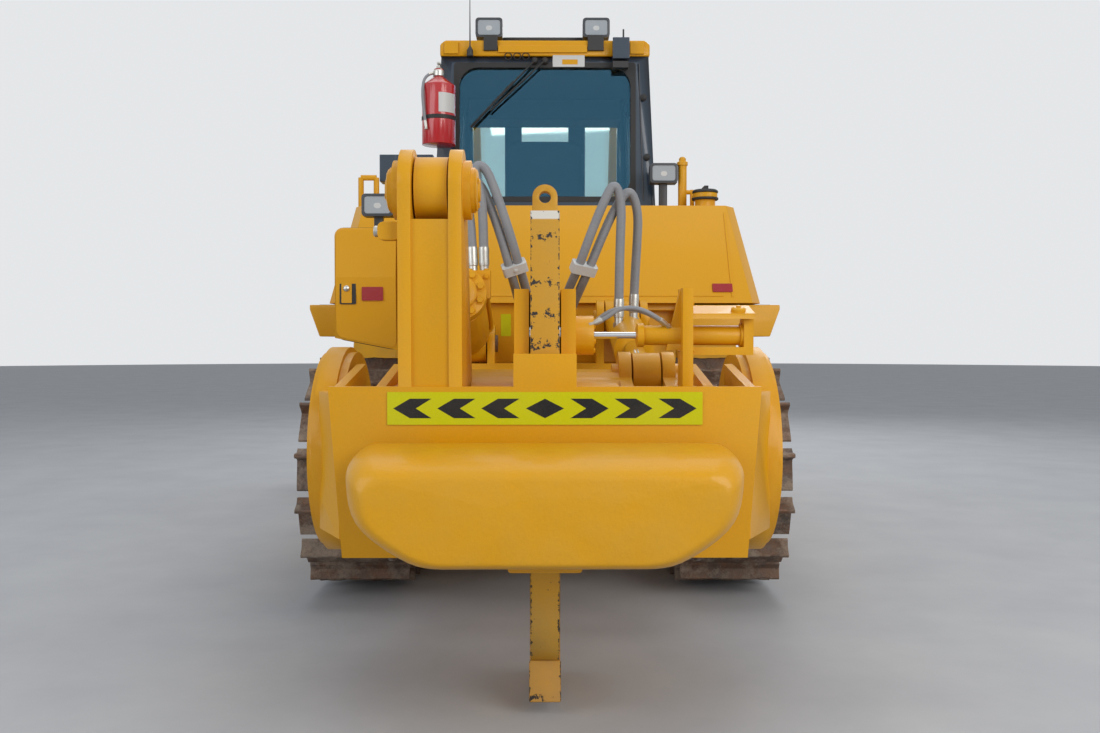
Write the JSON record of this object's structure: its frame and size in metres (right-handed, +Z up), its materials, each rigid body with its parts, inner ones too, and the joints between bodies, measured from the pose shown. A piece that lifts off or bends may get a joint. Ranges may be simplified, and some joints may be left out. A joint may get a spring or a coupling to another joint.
{
  "type": "crawler bulldozer with ripper",
  "caption": "Large crawler bulldozer with a semi-U blade, enclosed cab and a hydraulic single-shank ripper with tilt and lift cylinders at the rear.",
  "frame": {"origin": "on the ground under the middle of the whole machine's box", "axes": "+Z up, +Y forward towards the blade, +X the machine's right hand side"},
  "size_m": [4.06, 7.9394, 3.5303],
  "materials": {
    "yellow_paint": "satin",
    "cab_paint": "satin",
    "track_steel": "rough, muddy",
    "worn_steel": "worn",
    "engine_iron": "matt",
    "grille_black": "satin",
    "chrome_rod": "polished",
    "glass": "clear, tinted",
    "seat_fabric": "woven",
    "dash_plastic": "matt",
    "exhaust_black": "heat resisting, matt",
    "lamp_black": "matt",
    "extinguisher_red": "gloss",
    "sign_yellow": "retroreflective film"
  },
  "bodies": {
    "tractor": {"track_left": "track_steel", "track_right": "track_steel", "sprockets": "worn_steel", "idlers": "worn_steel", "track_rollers": "worn_steel", "track_frames": "yellow_paint", "rear_case": "yellow_paint", "main_frame": "yellow_paint", "equalizer_bar": "yellow_paint", "engine_block": "engine_iron", "hood": "yellow_paint", "grille": "grille_black", "exhaust_stack": "exhaust_black", "cab_shell": "cab_paint", "cab_glass": "glass", "cab_roof": "yellow_paint", "operator_seat": "seat_fabric", "control_console": "dash_plastic", "fuel_tank": "yellow_paint", "fenders": "yellow_paint", "deck": "yellow_paint", "rear_box": "yellow_paint", "work_lamps": "lamp_black", "tank_rails": "yellow_paint", "fire_extinguisher": "extinguisher_red", "ripper_bracket": "yellow_paint"},
    "blade_frame": {"blade": "yellow_paint", "cutting_edge": "worn_steel", "push_arms": "yellow_paint"},
    "blade_cylinders": {"blade_lift_barrels": "yellow_paint"},
    "blade_rods": {"blade_lift_rods": "chrome_rod"},
    "ripper_arm": {"ripper_arm": "yellow_paint"},
    "beam_pins": {"beam_pins": "worn_steel"},
    "ripper_beam": {"ripper_beam": "yellow_paint", "push_block": "yellow_paint", "warning_sign": "sign_yellow", "ripper_shank": "yellow_paint", "ripper_tip": "worn_steel", "pin_puller": "yellow_paint"},
    "pin_puller_rod": {"pin_puller_rod": "chrome_rod"},
    "tilt_pin": {"tilt_pin": "worn_steel"},
    "tilt_barrel": {"tilt_barrel": "yellow_paint"},
    "tilt_rod": {"tilt_rod": "chrome_rod"},
    "lift_barrel": {"lift_barrel": "yellow_paint"},
    "lift_rod": {"lift_rod": "chrome_rod"},
    "cab_door_left": {"cab_door_left": "cab_paint", "door_glass_left": "glass"},
    "cab_door_right": {"cab_door_right": "cab_paint", "door_glass_right": "glass"},
    "engine_door_left": {"engine_door_left": "yellow_paint"},
    "engine_door_right": {"engine_door_right": "yellow_paint"},
    "rear_box_door": {"rear_box_door": "yellow_paint"}
  },
  "joints": [
    {"name": "blade_lift", "type": "hinge", "parent": "tractor", "child": "blade_frame", "pos_m": [0, 0.06562, 0.47], "axis": [1, 0, 0], "range_deg": [-9, 20]},
    {"name": "blade_cylinder_swing", "type": "hinge", "parent": "tractor", "child": "blade_cylinders", "pos_m": [0, 2.50562, 2.11], "axis": [1, 0, 0], "range_deg": [-9.08, 19.57]},
    {"name": "blade_cylinder_stroke", "type": "slide", "parent": "blade_cylinders", "child": "blade_rods", "axis": [0, 0.4266, -0.9044], "range_m": [-1.0221, 0.461]},
    {"name": "ripper_lift", "type": "hinge", "parent": "tractor", "child": "ripper_arm", "pos_m": [0, -1.75438, 0.845], "axis": [-1, 0, 0], "range_deg": [-20, 26]},
    {"name": "beam_level", "type": "hinge", "parent": "ripper_arm", "child": "beam_pins", "pos_m": [0, -3.02438, 0.785], "axis": [-1, 0, 0], "range_deg": [-16.45, 12.77]},
    {"name": "ripper_tilt", "type": "hinge", "parent": "beam_pins", "child": "ripper_beam", "pos_m": [0, -3.02438, 0.785], "axis": [-1, 0, 0], "range_deg": [-7, 7]},
    {"name": "tilt_pin_swing", "type": "hinge", "parent": "tractor", "child": "tilt_pin", "pos_m": [0, -1.53438, 1.44], "axis": [-1, 0, 0], "range_deg": [-15.53, 20.04]},
    {"name": "tilt_barrel_swing", "type": "hinge", "parent": "tilt_pin", "child": "tilt_barrel", "pos_m": [0, -1.53438, 1.44], "axis": [-1, 0, 0], "range_deg": [-3.21, 3.21]},
    {"name": "tilt_rod_stroke", "type": "slide", "parent": "tilt_barrel", "child": "tilt_rod", "axis": [0, -0.9581, 0.2864], "range_m": [-0.1307, 0.1307]},
    {"name": "lift_barrel_swing", "type": "hinge", "parent": "tractor", "child": "lift_barrel", "pos_m": [0, -1.56438, 1.58], "axis": [-1, 0, 0], "range_deg": [-17.79, 22.98]},
    {"name": "lift_rod_stroke", "type": "slide", "parent": "lift_barrel", "child": "lift_rod", "axis": [0, -0.9806, -0.1961], "range_m": [-0.1793, 0.1384]},
    {"name": "pin_pull", "type": "slide", "parent": "ripper_beam", "child": "pin_puller_rod", "axis": [1, 0, 0], "range_m": [0, 0.17]},
    {"name": "cab_door_left", "type": "hinge", "parent": "tractor", "child": "cab_door_left", "pos_m": [-0.752, -0.44438, 1.67], "axis": [0.0465, 0, 0.9989], "range_deg": [0, 88]},
    {"name": "cab_door_right", "type": "hinge", "parent": "tractor", "child": "cab_door_right", "pos_m": [0.752, -0.44438, 1.67], "axis": [-0.0465, 0, 0.9989], "range_deg": [-88, 0]},
    {"name": "engine_door_left", "type": "hinge", "parent": "tractor", "child": "engine_door_left", "pos_m": [-0.438, 1.09562, 1.31], "axis": [0, 0, 1], "range_deg": [0, 85]},
    {"name": "engine_door_right", "type": "hinge", "parent": "tractor", "child": "engine_door_right", "pos_m": [0.438, 1.09562, 1.31], "axis": [0, 0, 1], "range_deg": [-85, 0]},
    {"name": "rear_box_door", "type": "hinge", "parent": "tractor", "child": "rear_box_door", "pos_m": [-0.796, -1.69838, 1.405], "axis": [0, 0, 1], "range_deg": [0, 105]}
  ],
  "couplings": [
    {"joint": "blade_cylinder_swing", "follows": "blade_lift", "ratio": 0.95332},
    {"joint": "blade_cylinder_stroke", "follows": "blade_lift", "m_per_rad": -2.9223},
    {"joint": "beam_level", "follows": "ripper_lift", "ratio": -0.61347},
    {"joint": "tilt_pin_swing", "follows": "ripper_lift", "ratio": 0.75168},
    {"joint": "tilt_barrel_swing", "follows": "ripper_tilt", "ratio": 0.38722},
    {"joint": "tilt_rod_stroke", "follows": "ripper_tilt", "m_per_rad": -1.0538},
    {"joint": "lift_barrel_swing", "follows": "ripper_lift", "ratio": 0.86452},
    {"joint": "lift_rod_stroke", "follows": "ripper_lift", "m_per_rad": -0.39066}
  ]
}
